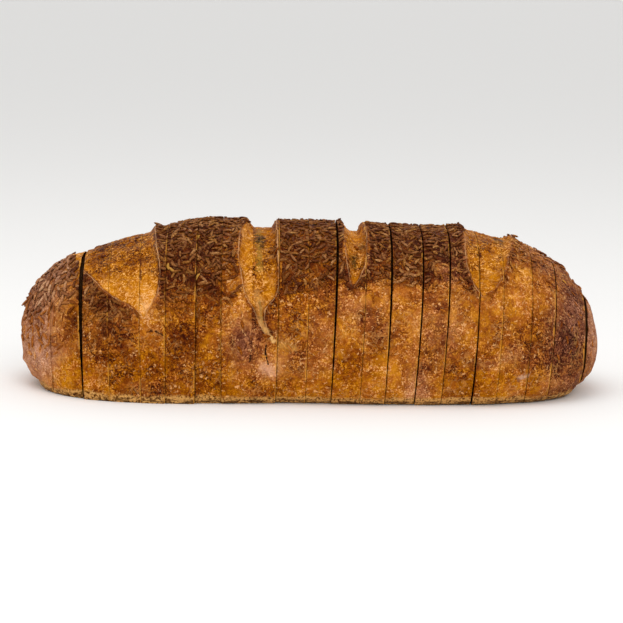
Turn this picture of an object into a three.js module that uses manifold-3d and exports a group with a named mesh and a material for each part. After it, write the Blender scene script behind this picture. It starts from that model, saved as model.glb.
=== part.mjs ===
// A sliced rye loaf: a long hearth loaf with four slashes over the top and caraway seeds
// baked onto the crust, cut into nineteen slices and two heels that still stand together.
// Millimetres, +Z up, X along the loaf, the base on Z = 0 and the origin under its middle.

import * as THREE from "three";
import { mergeVertices } from "three/addons/utils/BufferGeometryUtils.js";
import Module from "manifold-3d";

const wasm = await Module();
wasm.setup();

// ---------------------------------------------------------------- the loaf's driving sizes

const halfLength = 136.8; // from the middle to either tip
const halfWidth = 57.5; // at the widest height
const crestHeight = 77.5; // highest line of the crust
const crestX = -36; // where the crest is highest
const footHalfWidth = 48; // flat underside, at the middle
const footSpread = 6; // how much wider the foot is under the left half
const widestShare = 0.325; // the widest height, as a share of the section's height
const domeExponent = 2.2; // 2 would be an ellipse; more is squarer shoulders
const widthExponent = 4.4; // bluntness of the outline seen from above

// The two ends differ: the left is blunt and steep, the right tapers off lower.
const leftEnd = { tipHeight: 26.5, foot: 127, footExponent: 6, riseStart: 124, rise: 2.1, fall: 2.0 };
const rightEnd = { tipHeight: 22.8, foot: 125, footExponent: 4, riseStart: 118, rise: 5.6, fall: 1.75 };

// ---------------------------------------------------------------- the slicer's cuts

const cutCount = 20;
const slicePitch = 12.7; // half an inch
const firstCut = -115.6;
const bladeStagger = 0.45; // odd and even blades sit in two frames
const sawKerf = 0.3; // how far apart two slices that touch stand
const leanHeight = 30; // height at which a leaning cut keeps its place
const cutYaw = -1.4; // degrees that the blades stood off square to the loaf

// Degrees that each cut leans, positive to the right at the top: the slices fan apart.
const cutLeans = [
  -2.0, -2.2, -1.6, -1.7, -0.3, 0.0, -0.3, 0.3, 1.1, 1.1,
  2.2, 2.2, 2.6, 3.3, 3.5, 3.4, 3.2, 3.4, 4.6, 4.2,
];

// Extra opening on the front, in mm, at the foot and at the crest of the cuts that have
// come apart; it narrows to nothing at the back, where the slices still touch.
const openCuts = {
  1: [0.5, 3.2],
  10: [0.2, 1.4],
  12: [0.0, 1.4],
  13: [0.35, 0.8],
  14: [0.0, 1.0],
  15: [0.7, 0.0],
  18: [0.1, 0.8],
  19: [0.5, 4.0],
};

// The end pieces have slid outwards: extra distance along X of the outermost cuts.
const cutDrifts = { 0: -2.7, 1: -1.5, 2: -0.4, 3: 0.3, 10: 0.4, 12: -0.4, 14: 0.4, 15: 0.8, 17: 0.3, 19: 3.4 };

// How far each piece stands forward (negative) or back, from the left heel to the right.
const pieceSteps = [
  0.6, 0.5, -0.8, -1.2, -1.5, -1.0, 0.6, -0.6, -0.5, 0.7, 0.9,
  0.0, -0.5, 0.4, -0.2, 0.5, -0.3, 0.4, -0.2, 0.5, 0.9,
];

// ---------------------------------------------------------------- the slashes over the top

// The edges of a slash run over the crest and down either flank: how far down (0 on the
// crest, 1 at the widest height), then x of the left and of the right edge. Walls are the
// width of the slope inside either edge, soft is how much wider they are at the crest.
const slashes = [
  {
    depth: 1.5, lips: [0.5, 1.6], walls: [1.4, 2.2], soft: [9, 1],
    front: [
      [0, -114, -74], [0.19, -111, -72.4], [0.33, -108, -71.2], [0.43, -103.5, -69.8], [0.5, -100.2, -69],
      [0.56, -97.2, -68.6], [0.61, -94.8, -68.5], [0.655, -91.6, -68.7], [0.7, -87.5, -69], [0.73, -84, -70],
      [0.76, -81.2, -71.4], [0.79, -77.5, -73.2], [0.832, -74.8, -74.6],
    ],
    back: [
      [0, -114, -74], [0.2, -115, -75], [0.4, -116, -79], [0.6, -113, -86], [0.7, -108, -92],
      [0.78, -101, -98],
    ],
  },
  {
    depth: 2.8, lips: [0.9, 0.8], walls: [2, 2], soft: [2.5, 1],
    front: [
      [0, -30.4, -16.6], [0.1, -32.3, -16.2], [0.2, -33.2, -15.8], [0.35, -33.2, -15.3], [0.46, -33, -14.8],
      [0.55, -31.8, -14.5], [0.65, -30.8, -14.6], [0.71, -29.3, -15.4], [0.755, -27.2, -18.2],
      [0.785, -25.5, -20], [0.836, -23.8, -20.5], [0.889, -21.6, -19.4], [0.93, -19.6, -18], [0.955, -18.3, -18],
    ],
    back: [
      [0, -30.4, -16.6], [0.2, -33, -17.5], [0.4, -34.5, -19], [0.6, -34.5, -22], [0.72, -33, -26],
      [0.8, -31, -30],
    ],
  },
  {
    depth: 4, lips: [0.7, 0.9], walls: [3.4, 2.6], soft: [1.5, 1],
    front: [
      [0, 13.4, 24.6], [0.1, 14.2, 25.2], [0.2, 15, 25.5], [0.34, 15.5, 25.7], [0.45, 16.2, 25.5],
      [0.505, 16.8, 25], [0.555, 17.3, 23.6], [0.6, 17.8, 22.2], [0.64, 18.5, 20.5], [0.665, 19, 19.2],
    ],
    back: [
      [0, 13.4, 24.6], [0.2, 13.4, 24.2], [0.4, 13, 23], [0.6, 13.4, 20.4], [0.7, 14.5, 18], [0.76, 16, 16.5],
    ],
  },
  {
    depth: 1.8, lips: [1.1, 1.5], walls: [2.2, 5], soft: [2, 1],
    front: [
      [0, 70.4, 95.2], [0.08, 70.9, 95.2], [0.22, 71.2, 93.8], [0.33, 70.9, 91.6], [0.44, 71.3, 90], [0.49, 72, 89],
      [0.56, 73.2, 86.8], [0.61, 74.5, 84.5], [0.65, 76.6, 81.2], [0.68, 78.4, 79],
    ],
    back: [
      [0, 70.4, 95.2], [0.2, 69.6, 93.6], [0.4, 69, 89], [0.6, 70, 83], [0.7, 72, 79], [0.76, 74, 75],
    ],
  },
];
const lipWidth = 1.9;

// ---------------------------------------------------------------- the loaf's surface

const radians = (degrees) => (degrees * Math.PI) / 180;
const clamp = (value, low, high) => Math.min(high, Math.max(low, value));

function smoothStep(value, low, high) {
  const share = clamp((value - low) / (high - low), 0, 1);
  return share * share * (3 - 2 * share);
}

function taper(distance, span, exponent, root) {
  const share = clamp(distance / span, 0, 1);
  return Math.pow(1 - Math.pow(share, exponent), 1 / root);
}

// The crust is not even: slow swells up to about a millimetre and a half.
function swell(x, angle) {
  return (
    0.55 * Math.sin(0.052 * x + 1.9 * angle + 0.6) +
    0.45 * Math.sin(0.097 * x - 1.3 * angle + 2.4) +
    0.35 * Math.sin(0.151 * x + 3.1 * angle + 4.4)
  );
}

// x of a slash's left and right edge for a place on the front or the back, or nothing where
// the slash has ended; down is 0 on the crest and 1 at the widest height.
function slashEdges(slash, down, face) {
  const places = face < 0 ? slash.front : slash.back;
  const after = places.findIndex(([place]) => place >= down);
  if (after < 0) {
    return null;
  }
  const [lowPlace, lowLeft, lowRight] = places[Math.max(after - 1, 0)];
  const [highPlace, highLeft, highRight] = places[after];
  const share = highPlace > lowPlace ? (down - lowPlace) / (highPlace - lowPlace) : 0;
  return [lowLeft + (highLeft - lowLeft) * share, lowRight + (highRight - lowRight) * share];
}

function wallSlope(slash, side, down) {
  return slash.walls[side] * (1 + (slash.soft[side] - 1) * (1 - smoothStep(down, 0.1, 0.45)));
}

// Relief of the slashes at a place: negative in the trough, positive on the lips.
function slashRelief(x, down, face) {
  let relief = 0;
  for (const slash of slashes) {
    const edges = slashEdges(slash, down, face);
    if (!edges) {
      continue;
    }
    const width = edges[1] - edges[0];
    let wall = 1;
    [x - edges[0], edges[1] - x].forEach((within, side) => {
      wall *= smoothStep(within, 0, wallSlope(slash, side, down));
      const beyond = (within + 0.6) / lipWidth;
      relief += slash.lips[side] * smoothStep(width, 0, 3) * Math.exp(-beyond * beyond);
    });
    relief -= slash.depth * smoothStep(width, 0, 7) * wall;
  }
  return relief;
}

// Places along X where a slice's bands should fold: beside and inside every slash's edges.
function slashFolds(down, face) {
  const folds = [];
  for (const slash of slashes) {
    const edges = slashEdges(slash, down, face);
    if (edges && edges[1] - edges[0] > 1.5) {
      const [leftWall, rightWall] = [0, 1].map((side) => Math.min(wallSlope(slash, side, down), 5));
      folds.push(edges[0] - 0.4, edges[0] + 0.85 * leftWall, edges[1] - 0.85 * rightWall, edges[1] + 0.4);
    }
  }
  return folds;
}

// The section's sizes at a distance along the loaf.
function sectionAt(x) {
  const end = x < 0 ? leftEnd : rightEnd;
  const crestSpan = x < crestX ? halfLength + crestX : halfLength - crestX;
  const crestEnd = x < crestX ? leftEnd : rightEnd;
  const rising = taper(Math.abs(x - crestX), crestSpan, crestEnd.rise, crestEnd.fall);
  const top = crestEnd.tipHeight + (crestHeight - crestEnd.tipHeight) * rising;
  const lift = clamp((Math.abs(x) - end.riseStart) / (halfLength - end.riseStart), 0, 1);
  const bottom = end.tipHeight * (1 - Math.sqrt(1 - lift * lift));
  const side = halfWidth * taper(Math.abs(x), halfLength, widthExponent, 2);
  const spread = footHalfWidth + footSpread * smoothStep(-x, 10, 60);
  const foot = Math.min(spread * taper(Math.abs(x), end.foot, end.footExponent, 2), side);
  const widest = bottom + widestShare * (top - bottom);
  return { top, bottom, side, foot, widest };
}

// Steps of the half outline: across the flat foot, up to the widest height, over the dome.
const footSteps = 2;
const flankSteps = 4;
const domeSteps = 14;
const halfSteps = footSteps + flankSteps + domeSteps;

const downAt = (step) => (halfSteps - step) / domeSteps;

// A point of the crust: x along the loaf, step counted from the middle of the foot to the
// crest, and face -1 for the front or 1 for the back.
function crustPoint(x, step, face) {
  const { top, bottom, side, foot, widest } = sectionAt(x);
  let across;
  let height;
  if (step <= footSteps) {
    across = (foot * step) / footSteps;
    height = bottom;
  } else if (step <= footSteps + flankSteps) {
    const turn = (((step - footSteps) / flankSteps) * Math.PI) / 2;
    across = foot + (side - foot) * Math.sin(turn);
    height = widest - (widest - bottom) * Math.cos(turn);
  } else {
    const turn = (((step - footSteps - flankSteps) / domeSteps) * Math.PI) / 2;
    across = side * Math.pow(Math.max(Math.cos(turn), 0), 2 / domeExponent);
    height = widest + (top - widest) * Math.pow(Math.sin(turn), 2 / domeExponent);
  }
  const angle = Math.atan2(height - widest, face * across);
  const overFoot = clamp((height - bottom) / 12, 0, 1);
  const nearTip = clamp((halfLength - Math.abs(x)) / 15, 0, 1);
  let relief = swell(x, angle) * overFoot * nearTip;
  if (height > widest && side > 1) {
    relief += slashRelief(x, downAt(step), face) * nearTip;
  }
  const reach = Math.hypot(across, height - widest) || 1;
  const grow = 1 + (step > footSteps ? relief / reach : 0);
  return { y: face * across * grow, z: widest + (height - widest) * grow, relief };
}

// ---------------------------------------------------------------- cut planes

// The plane of one side of a cut: side -1 bounds the piece on its left, 1 the one on its
// right. Returns x for a place across the loaf and a height.
function cutPlane(index, side) {
  const stagger = index % 2 === 1 ? bladeStagger : -bladeStagger;
  const place = firstCut + slicePitch * index + stagger + (cutDrifts[index] ?? 0);
  const slope = Math.tan(radians(cutLeans[index]));
  const [openFoot, openCrest] = openCuts[index] ?? [0, 0];
  return (y, z) => {
    const opening = openFoot + ((openCrest - openFoot) * z) / crestHeight;
    const frontShare = clamp(0.5 - y / (2 * halfWidth), 0, 1);
    const turned = (y + halfWidth) * Math.tan(radians(cutYaw));
    return place + turned + slope * (z - leanHeight) + (side * (sawKerf + opening * frontShare)) / 2;
  };
}

// Where the crust meets a cut plane.
function crustOnPlane(plane, step, face) {
  let point = crustPoint(plane(0, leanHeight), step, face);
  for (let pass = 0; pass < 8; pass += 1) {
    point = crustPoint(plane(point.y, point.z), step, face);
  }
  return { ...point, x: plane(point.y, point.z) };
}

// ---------------------------------------------------------------- one piece of bread

const slashedPieces = [1, 2, 3, 4, 7, 8, 11, 12, 15, 16, 17];
const bandsOfPlainSlice = 2; // bands of crust between two cuts
const bandsOfSlashedSlice = 5;
const bandsOfHeel = 7;
const plainDomePlaces = 14;
const slashedDomePlaces = 20;

// The loop's places as steps and faces: up the front from the middle of the foot, over the
// crest and down the back.
function loopPlaces(domePlaces) {
  const half = [];
  for (let step = 0; step < footSteps + flankSteps; step += 1) {
    half.push(step);
  }
  for (let place = 0; place < domePlaces; place += 1) {
    half.push(footSteps + flankSteps + (domeSteps * place) / domePlaces);
  }
  const back = half.slice(1).reverse();
  return [...half.map((step) => [step, -1]), [halfSteps, -1], ...back.map((step) => [step, 1])];
}

function addTriangle(list, a, b, c) {
  list.push(a, b, c);
}

// Joins two neighbouring rings of the same count with triangles, splitting each square of
// crust along the diagonal whose ends differ least in relief, so that an edge stays smooth.
function bridgeRings(list, first, second, count, reliefs) {
  const between = (a, b) => Math.abs(reliefs[a] - reliefs[b]);
  for (let i = 0; i < count; i += 1) {
    const next = (i + 1) % count;
    const [a, b, c, d] = [first + i, second + i, second + next, first + next];
    if (between(b, d) < between(a, c) - 1e-6) {
      addTriangle(list, a, b, d);
      addTriangle(list, b, c, d);
    } else {
      addTriangle(list, a, b, c);
      addTriangle(list, a, c, d);
    }
  }
}

// Closes a ring with a fan round one point.
function fanRing(list, ring, centre, count, towardsMinusX) {
  for (let i = 0; i < count; i += 1) {
    const next = (i + 1) % count;
    if (towardsMinusX) {
      addTriangle(list, centre, ring + i, ring + next);
    } else {
      addTriangle(list, centre, ring + next, ring + i);
    }
  }
}

function solidFrom(points, list) {
  const geometry = new THREE.BufferGeometry();
  geometry.setAttribute("position", new THREE.Float32BufferAttribute(points.flat(), 3));
  geometry.setIndex(list);
  const merged = mergeVertices(geometry, 1e-4);
  const mesh = new wasm.Mesh({
    numProp: 3,
    vertProperties: Float32Array.from(merged.attributes.position.array),
    triVerts: Uint32Array.from(merged.index.array),
  });
  return new wasm.Manifold(mesh);
}

// x of the bands between two cuts; a fold draws the nearest band onto itself.
function bandPlaces(low, high, bands, folds) {
  const spacing = (high - low) / bands;
  const places = Array.from({ length: bands + 1 }, (_, band) => low + spacing * band);
  for (const fold of folds) {
    const band = Math.round((fold - low) / spacing);
    if (band > 0 && band < bands && places[band] === low + spacing * band) {
      places[band] = fold;
    }
  }
  return places;
}

// The solid of a piece between a left and a right plane; a heel has a tip for one of them.
function pieceSolid(leftPlane, rightPlane, slashed) {
  const loop = loopPlaces(slashed ? slashedDomePlaces : plainDomePlaces);
  const count = loop.length;
  const points = [];
  const reliefs = [];
  const list = [];
  const tip = leftPlane ? { x: halfLength, z: rightEnd.tipHeight } : { x: -halfLength, z: leftEnd.tipHeight };
  const bandsOfSlice = slashed ? bandsOfSlashedSlice : bandsOfPlainSlice;
  const bands = leftPlane && rightPlane ? bandsOfSlice : bandsOfHeel;
  const ends = loop.map(([step, face]) => [
    leftPlane ? crustOnPlane(leftPlane, step, face) : null,
    rightPlane ? crustOnPlane(rightPlane, step, face) : null,
  ]);
  for (let band = 0; band <= bands; band += 1) {
    const onLeft = band === 0;
    const onRight = band === bands;
    if ((onLeft && !leftPlane) || (onRight && !rightPlane)) {
      continue;
    }
    loop.forEach(([step, face], i) => {
      const [left, right] = ends[i];
      if (onLeft || onRight) {
        const end = onLeft ? left : right;
        points.push([end.x, end.y, end.z]);
        reliefs.push(end.relief);
        return;
      }
      let x;
      if (left && right) {
        x = bandPlaces(left.x, right.x, bands, slashFolds(downAt(step), face))[band];
      } else if (left) {
        x = left.x + (tip.x - left.x) * Math.sin(((band / bands) * Math.PI) / 2);
      } else {
        x = right.x + (tip.x - right.x) * Math.sin(((1 - band / bands) * Math.PI) / 2);
      }
      const point = crustPoint(x, step, face);
      points.push([x, point.y, point.z]);
      reliefs.push(point.relief);
    });
  }
  const rings = points.length / count;
  for (let ring = 0; ring + 1 < rings; ring += 1) {
    bridgeRings(list, ring * count, (ring + 1) * count, count, reliefs);
  }
  const middle = (plane) => {
    const height = 0.45 * sectionAt(plane(0, leanHeight)).top;
    return [plane(0, height), 0, height];
  };
  points.push(leftPlane ? middle(leftPlane) : [tip.x, 0, tip.z]);
  fanRing(list, 0, points.length - 1, count, true);
  points.push(rightPlane ? middle(rightPlane) : [tip.x, 0, tip.z]);
  fanRing(list, (rings - 1) * count, points.length - 1, count, false);
  return solidFrom(points, list);
}

// ---------------------------------------------------------------- caraway seeds

const seedLength = 5.2;
const seedWidth = 1.3;
const seedBend = 0.55; // how far the middle of the crescent lies off its chord
const seedSink = 0.15; // how far the seed's axis lies above the crust
const seedSpacing = 9.4; // least distance between two of the seeds that are modelled
const seedClearance = 0.5; // least distance from a seed to a cut
const seedTries = 5200;
const maximumSeeds = 76;

// A small repeatable random number generator.
function randomSource(seed) {
  let state = seed >>> 0;
  return () => {
    state = (state + 0x6d2b79f5) >>> 0;
    let mixed = Math.imul(state ^ (state >>> 15), 1 | state);
    mixed = (mixed + Math.imul(mixed ^ (mixed >>> 7), 61 | mixed)) ^ mixed;
    return ((mixed ^ (mixed >>> 14)) >>> 0) / 4294967296;
  };
}

// How thickly the seeds lie: thick over the top, thin on the sides and to the right, none
// in the slashes or on their lips.
function seedDensity(x, step, face) {
  const height = (step - footSteps - flankSteps) / domeSteps;
  if (height < 0.12 || Math.abs(slashRelief(x, downAt(step), face)) > 0.15) {
    return 0;
  }
  const top = clamp((height - 0.12) / 0.5, 0, 1);
  const right = clamp((x - 60) / 60, 0, 1);
  return (0.25 + 0.75 * top) * (1 - 0.65 * right);
}

// A crescent with pointed ends: three five-sided rings between two tips.
function seedSolid(length, width) {
  const points = [[-length / 2, 0, 0]];
  const sides = 5;
  for (const share of [-0.28, 0, 0.28]) {
    const girth = (width / 2) * (share === 0 ? 1 : 0.8);
    const bend = seedBend * (1 - Math.pow(2 * share, 2));
    for (let side = 0; side < sides; side += 1) {
      const turn = (side / sides) * 2 * Math.PI;
      points.push([share * length, bend + girth * Math.cos(turn), girth * Math.sin(turn)]);
    }
  }
  points.push([length / 2, 0, 0]);
  const list = [];
  const last = points.length - 1;
  for (let side = 0; side < sides; side += 1) {
    const next = (side + 1) % sides;
    addTriangle(list, 0, 1 + next, 1 + side);
    addTriangle(list, last, last - sides + side, last - sides + next);
    for (const ring of [1, 1 + sides]) {
      addTriangle(list, ring + side, ring + next, ring + sides + next);
      addTriangle(list, ring + side, ring + sides + next, ring + sides + side);
    }
  }
  return solidFrom(points, list);
}

// Places the seeds over the crust, each well inside the slice that carries it.
function scatterSeeds() {
  const random = randomSource(1907);
  const placed = [];
  const pieces = Array.from({ length: cutCount + 1 }, () => []);
  for (let attempt = 0; attempt < seedTries && placed.length < maximumSeeds; attempt += 1) {
    const x = (2 * random() - 1) * (halfLength - 6);
    const step = footSteps + flankSteps + random() * domeSteps;
    const face = random() < 0.5 ? -1 : 1;
    const heading = random() * Math.PI;
    const keep = random();
    const size = 0.85 + 0.3 * random();
    const point = crustPoint(x, step, face);
    if (keep > seedDensity(x, step, face)) {
      continue;
    }
    const here = new THREE.Vector3(x, point.y, point.z);
    if (placed.some((other) => other.distanceTo(here) < seedSpacing)) {
      continue;
    }
    const ahead = crustPoint(x + 0.5, step, face);
    const below = crustPoint(x, step - 0.2, face);
    const along = new THREE.Vector3(0.5, ahead.y - point.y, ahead.z - point.z).normalize();
    const rise = new THREE.Vector3(0, point.y - below.y, point.z - below.z).normalize();
    const normal = new THREE.Vector3().crossVectors(along, rise).normalize().multiplyScalar(-face);
    const length = seedLength * size;
    const half = Math.abs(Math.cos(heading)) * (length / 2) + seedWidth + seedClearance;
    const piece = pieceAround(here, half);
    if (piece < 0) {
      continue;
    }
    const direction = along.clone().multiplyScalar(Math.cos(heading));
    direction.addScaledVector(rise, Math.sin(heading)).projectOnPlane(normal).normalize();
    const sideways = new THREE.Vector3().crossVectors(normal, direction);
    const frame = new THREE.Matrix4().makeBasis(direction, sideways, normal);
    frame.setPosition(here.clone().addScaledVector(normal, seedSink));
    pieces[piece].push(seedSolid(length, seedWidth * size).transform(frame.toArray()));
    placed.push(here);
  }
  return pieces;
}

// The piece that holds a seed reaching half its length to each side of x, or -1.
function pieceAround({ x, y, z }, half) {
  for (let piece = 0; piece <= cutCount; piece += 1) {
    const low = piece === 0 ? -Infinity : cutPlane(piece - 1, 1)(y, z);
    const high = piece === cutCount ? Infinity : cutPlane(piece, -1)(y, z);
    if (x - half > low && x + half < high) {
      return piece;
    }
  }
  return -1;
}

// ---------------------------------------------------------------- the loaf

// The largest body of a solid: drops scraps and fills any pocket that a union has sealed.
function largestBody(solid) {
  const bodies = solid.decompose();
  return bodies.reduce((best, body) => (body.volume() > best.volume() ? body : best));
}

function meshOf(solid, name, colour, roughness) {
  const { vertProperties, triVerts } = solid.getMesh();
  const geometry = new THREE.BufferGeometry();
  geometry.setAttribute("position", new THREE.BufferAttribute(vertProperties, 3));
  geometry.setIndex(new THREE.BufferAttribute(triVerts, 1));
  geometry.computeVertexNormals();
  const material = new THREE.MeshStandardMaterial({ color: colour, roughness, metalness: 0 });
  const mesh = new THREE.Mesh(geometry, material);
  mesh.name = name;
  return mesh;
}

function pieceName(piece) {
  if (piece === 0) {
    return "heel_left";
  }
  if (piece === cutCount) {
    return "heel_right";
  }
  return `slice_${String(piece).padStart(2, "0")}`;
}

const crustColour = 0x93_55_20;
const crustRoughness = 0.7;

const loaf = new THREE.Group();
const seeds = scatterSeeds();
for (let piece = 0; piece <= cutCount; piece += 1) {
  const left = piece > 0 ? cutPlane(piece - 1, 1) : null;
  const right = piece < cutCount ? cutPlane(piece, -1) : null;
  const bread = pieceSolid(left, right, slashedPieces.includes(piece));
  const solid = largestBody(wasm.Manifold.union([bread, ...seeds[piece]]));
  const mesh = meshOf(solid, pieceName(piece), crustColour, crustRoughness);
  mesh.position.y = pieceSteps[piece];
  loaf.add(mesh);
}

export default loaf;
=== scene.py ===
# A sliced rye loaf: nineteen slices and two heels, cut by machine and still standing
# together, with caraway seeds baked onto the crust. Sizes are in millimetres until a mesh
# is made; the loaf lies along X, its shown side faces -Y and its base is on Z = 0.

import math
import random

import bpy
import numpy as np
from mathutils import Matrix, Vector


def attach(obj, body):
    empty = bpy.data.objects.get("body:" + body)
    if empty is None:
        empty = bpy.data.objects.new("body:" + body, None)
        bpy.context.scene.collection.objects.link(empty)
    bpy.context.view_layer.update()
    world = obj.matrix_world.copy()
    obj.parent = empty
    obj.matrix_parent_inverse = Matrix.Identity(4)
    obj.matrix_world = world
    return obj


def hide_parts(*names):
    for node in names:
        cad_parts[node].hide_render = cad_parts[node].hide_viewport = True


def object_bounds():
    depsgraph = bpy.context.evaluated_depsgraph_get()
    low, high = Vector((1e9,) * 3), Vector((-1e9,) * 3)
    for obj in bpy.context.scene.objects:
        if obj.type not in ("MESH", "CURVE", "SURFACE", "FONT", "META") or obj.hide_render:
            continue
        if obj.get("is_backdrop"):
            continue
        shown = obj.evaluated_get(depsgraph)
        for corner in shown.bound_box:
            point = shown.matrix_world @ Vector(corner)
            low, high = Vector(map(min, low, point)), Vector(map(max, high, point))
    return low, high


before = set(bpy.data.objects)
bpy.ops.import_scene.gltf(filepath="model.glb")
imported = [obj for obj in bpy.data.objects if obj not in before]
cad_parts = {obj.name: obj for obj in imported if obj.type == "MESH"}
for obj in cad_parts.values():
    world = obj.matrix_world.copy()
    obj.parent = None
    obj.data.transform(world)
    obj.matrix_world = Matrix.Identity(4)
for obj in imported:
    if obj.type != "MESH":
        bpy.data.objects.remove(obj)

cad_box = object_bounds()
MM = 0.001

# ------------------------------------------------------------------------------------
# The dough. A hearth loaf that was rolled, proved and baked free-standing, so its foot is
# flat, its flanks bulge and its ends run out round. Every slice below is cut from this form.

HALF_LENGTH = 136.8
HALF_WIDTH = 57.5
CREST_HEIGHT = 77.5
CREST_X = -36.0
FOOT_HALF_WIDTH = 48.0
FOOT_SPREAD = 6.0  # wider under the left half
WIDEST_SHARE = 0.325
DOME_EXPONENT = 2.2
WIDTH_EXPONENT = 4.4

# left end blunt and steep, right end lower and longer
LEFT_END = {
    "tip": 26.5, "foot": 127.0, "foot_exponent": 6.0, "rise_start": 124.0, "rise": 2.1, "fall": 2.0,
}
RIGHT_END = {
    "tip": 22.8, "foot": 125.0, "foot_exponent": 4.0, "rise_start": 118.0, "rise": 5.6,
    "fall": 1.75,
}

# Four slashes opened in the oven. Their edges run over the crest and down either flank:
# how far down (0 on the crest, 1 at the widest place), then x of the left and right edge.
# Walls are the width of the slope at the left and right edge, soft how much wider it is at
# the crest, lips the height beyond it.
SLASHES = [
    {
        "depth": 1.5, "lips": (0.5, 1.6), "walls": (1.4, 2.2), "soft": (9.0, 1.0),
        "front": [
            (0.0, -114.0, -74.0), (0.19, -111.0, -72.4), (0.33, -108.0, -71.2),
            (0.43, -103.5, -69.8), (0.5, -100.2, -69.0), (0.56, -97.2, -68.6),
            (0.61, -94.8, -68.5), (0.655, -91.6, -68.7), (0.7, -87.5, -69.0),
            (0.73, -84.0, -70.0), (0.76, -81.2, -71.4), (0.79, -77.5, -73.2),
            (0.832, -74.8, -74.6),
        ],
        "back": [
            (0.0, -114.0, -74.0), (0.2, -115.0, -75.0), (0.4, -116.0, -79.0),
            (0.6, -113.0, -86.0), (0.7, -108.0, -92.0), (0.78, -101.0, -98.0),
        ],
    },
    {
        "depth": 2.8, "lips": (0.9, 0.8), "walls": (2.0, 2.0), "soft": (2.5, 1.0),
        "front": [
            (0.0, -30.4, -16.6), (0.1, -32.3, -16.2), (0.2, -33.2, -15.8), (0.35, -33.2, -15.3),
            (0.46, -33.0, -14.8), (0.55, -31.8, -14.5), (0.65, -30.8, -14.6),
            (0.71, -29.3, -15.4), (0.755, -27.2, -18.2), (0.785, -25.5, -20.0),
            (0.836, -23.8, -20.5), (0.889, -21.6, -19.4), (0.93, -19.6, -18.0),
            (0.955, -18.3, -18.0),
        ],
        "back": [
            (0.0, -30.4, -16.6), (0.2, -33.0, -17.5), (0.4, -34.5, -19.0), (0.6, -34.5, -22.0),
            (0.72, -33.0, -26.0), (0.8, -31.0, -30.0),
        ],
    },
    {
        "depth": 4.0, "lips": (0.7, 0.9), "walls": (3.4, 2.6), "soft": (1.5, 1.0),
        "front": [
            (0.0, 13.4, 24.6), (0.1, 14.2, 25.2), (0.2, 15.0, 25.5), (0.34, 15.5, 25.7),
            (0.45, 16.2, 25.5), (0.505, 16.8, 25.0), (0.555, 17.3, 23.6), (0.6, 17.8, 22.2),
            (0.64, 18.5, 20.5), (0.665, 19.0, 19.2),
        ],
        "back": [
            (0.0, 13.4, 24.6), (0.2, 13.4, 24.2), (0.4, 13.0, 23.0), (0.6, 13.4, 20.4),
            (0.7, 14.5, 18.0), (0.76, 16.0, 16.5),
        ],
    },
    {
        "depth": 1.8, "lips": (1.1, 1.5), "walls": (2.2, 5.0), "soft": (2.0, 1.0),
        "front": [
            (0.0, 70.4, 95.2), (0.08, 70.9, 95.2), (0.22, 71.2, 93.8), (0.33, 70.9, 91.6),
            (0.44, 71.3, 90.0), (0.49, 72.0, 89.0), (0.56, 73.2, 86.8), (0.61, 74.5, 84.5),
            (0.65, 76.6, 81.2), (0.68, 78.4, 79.0),
        ],
        "back": [
            (0.0, 70.4, 95.2), (0.2, 69.6, 93.6), (0.4, 69.0, 89.0), (0.6, 70.0, 83.0),
            (0.7, 72.0, 79.0), (0.76, 74.0, 75.0),
        ],
    },
]
LIP_WIDTH = 1.9

# steps of the outline from the middle of the foot to the crest
FOOT_STEPS = 2
FLANK_STEPS = 4
DOME_STEPS = 14
HALF_STEPS = FOOT_STEPS + FLANK_STEPS + DOME_STEPS


def taper(distance, span, exponent, root):
    share = np.clip(distance / span, 0.0, 1.0)
    return (1.0 - share**exponent) ** (1.0 / root)


def smooth_step(value, low, high):
    share = np.clip((value - low) / (high - low), 0.0, 1.0)
    return share * share * (3.0 - 2.0 * share)


def by_end(left_side, key):
    return np.where(left_side, LEFT_END[key], RIGHT_END[key])


def section_at(x):
    """The section's sizes at a distance along the loaf."""
    span = np.where(x < CREST_X, HALF_LENGTH + CREST_X, HALF_LENGTH - CREST_X)
    before_crest = x < CREST_X
    exponent, root = by_end(before_crest, "rise"), by_end(before_crest, "fall")
    rising = taper(abs(x - CREST_X), span, exponent, root)
    crest_tip = by_end(before_crest, "tip")
    top = crest_tip + (CREST_HEIGHT - crest_tip) * rising
    left = x < 0
    start = by_end(left, "rise_start")
    lift = np.clip((abs(x) - start) / (HALF_LENGTH - start), 0.0, 1.0)
    bottom = by_end(left, "tip") * (1.0 - np.sqrt(1.0 - lift * lift))
    side = HALF_WIDTH * taper(abs(x), HALF_LENGTH, WIDTH_EXPONENT, 2.0)
    foot = FOOT_HALF_WIDTH + FOOT_SPREAD * smooth_step(-x, 10.0, 60.0)
    foot = foot * taper(abs(x), by_end(left, "foot"), by_end(left, "foot_exponent"), 2.0)
    widest = bottom + WIDEST_SHARE * (top - bottom)
    return top, bottom, side, np.minimum(foot, side), widest


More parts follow.
